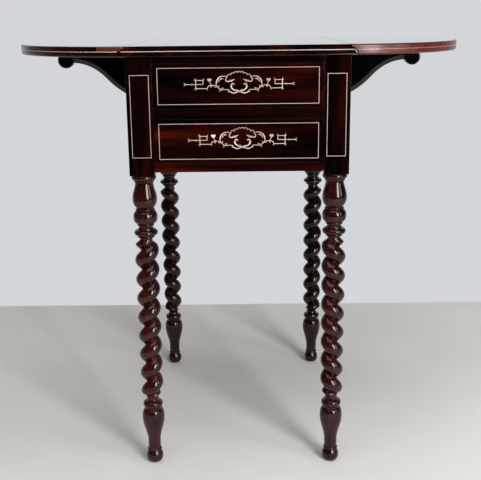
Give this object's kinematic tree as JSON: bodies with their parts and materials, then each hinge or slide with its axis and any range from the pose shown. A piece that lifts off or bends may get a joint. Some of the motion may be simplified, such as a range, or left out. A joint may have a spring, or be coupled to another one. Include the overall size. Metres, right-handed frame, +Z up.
{
  "type": "sewing table",
  "caption": "Drop-leaf sewing table with two drawers in its narrow end, marquetry and stringing, swinging leaf brackets and barley-twist legs.",
  "frame": {"origin": "on the floor, in the middle of the four feet", "axes": "+X to the right of a person facing the drawers, +Y to the back, +Z up"},
  "size_m": [0.796, 0.524, 0.74],
  "materials": {
    "rosewood": "french polished rosewood, glossy",
    "lining": "plain oak, waxed",
    "inlay": "pale maple stringing, polished",
    "brass": "dull brass",
    "iron": "dark iron wire"
  },
  "bodies": {
    "case": {"leg_front_left": "rosewood", "leg_front_right": "rosewood", "leg_back_left": "rosewood", "leg_back_right": "rosewood", "fixed_top": "rosewood", "leaf_right": "rosewood", "leaf_left": "rosewood", "top_rail": "rosewood", "divider_rail": "rosewood", "bottom_rail": "rosewood", "back_panel": "rosewood", "side_apron_right": "rosewood", "side_apron_left": "rosewood", "fly_rail_right": "rosewood", "fly_rail_left": "rosewood", "side_panel_right": "lining", "side_panel_left": "lining", "upper_runner_right": "lining", "upper_runner_left": "lining", "lower_runner_right": "lining", "lower_runner_left": "lining", "dust_board": "lining", "leg_string_right": "inlay", "leg_string_left": "inlay", "top_string_front": "inlay", "top_string_back": "inlay", "leaf_string_right": "inlay", "leaf_string_left": "inlay", "hinge_front_top_flap_right": "brass", "hinge_front_top_flap_left": "brass", "hinge_front_leaf_flap_right": "brass", "hinge_front_leaf_flap_left": "brass", "hinge_back_top_flap_right": "brass", "hinge_back_top_flap_left": "brass", "hinge_back_leaf_flap_right": "brass", "hinge_back_leaf_flap_left": "brass", "bracket_pin_right": "iron", "bracket_pin_left": "iron", "hinge_front_pin_right": "iron", "hinge_front_pin_left": "iron", "hinge_back_pin_right": "iron", "hinge_back_pin_left": "iron"},
    "bracket_arm_left": {"bracket_left": "rosewood"},
    "bracket_arm_right": {"bracket_right": "rosewood"},
    "drawer_upper": {"upper_drawer_front": "rosewood", "upper_drawer_string": "inlay", "upper_drawer_side_left": "lining", "upper_drawer_side_right": "lining", "upper_drawer_back": "lining", "upper_drawer_bottom": "lining", "sewing_partition_across": "lining", "sewing_partition_long": "lining"},
    "drawer_lower": {"lower_drawer_front": "rosewood", "lower_drawer_string": "inlay", "lower_drawer_side_left": "lining", "lower_drawer_side_right": "lining", "lower_drawer_back": "lining", "lower_drawer_bottom": "lining"}
  },
  "joints": [
    {"name": "bracket_left_swing", "type": "hinge", "parent": "case", "child": "bracket_arm_left", "pos_m": [-0.1685, 0, 0.68], "axis": [0, 0, 1], "range_deg": [0, 90]},
    {"name": "bracket_right_swing", "type": "hinge", "parent": "case", "child": "bracket_arm_right", "pos_m": [0.1685, 0, 0.68], "axis": [0, 0, -1], "range_deg": [0, 90]},
    {"name": "upper_drawer_slide", "type": "slide", "parent": "case", "child": "drawer_upper", "axis": [0, -1, 0], "range_m": [0, 0.3]},
    {"name": "lower_drawer_slide", "type": "slide", "parent": "case", "child": "drawer_lower", "axis": [0, -1, 0], "range_m": [0, 0.3]}
  ]
}
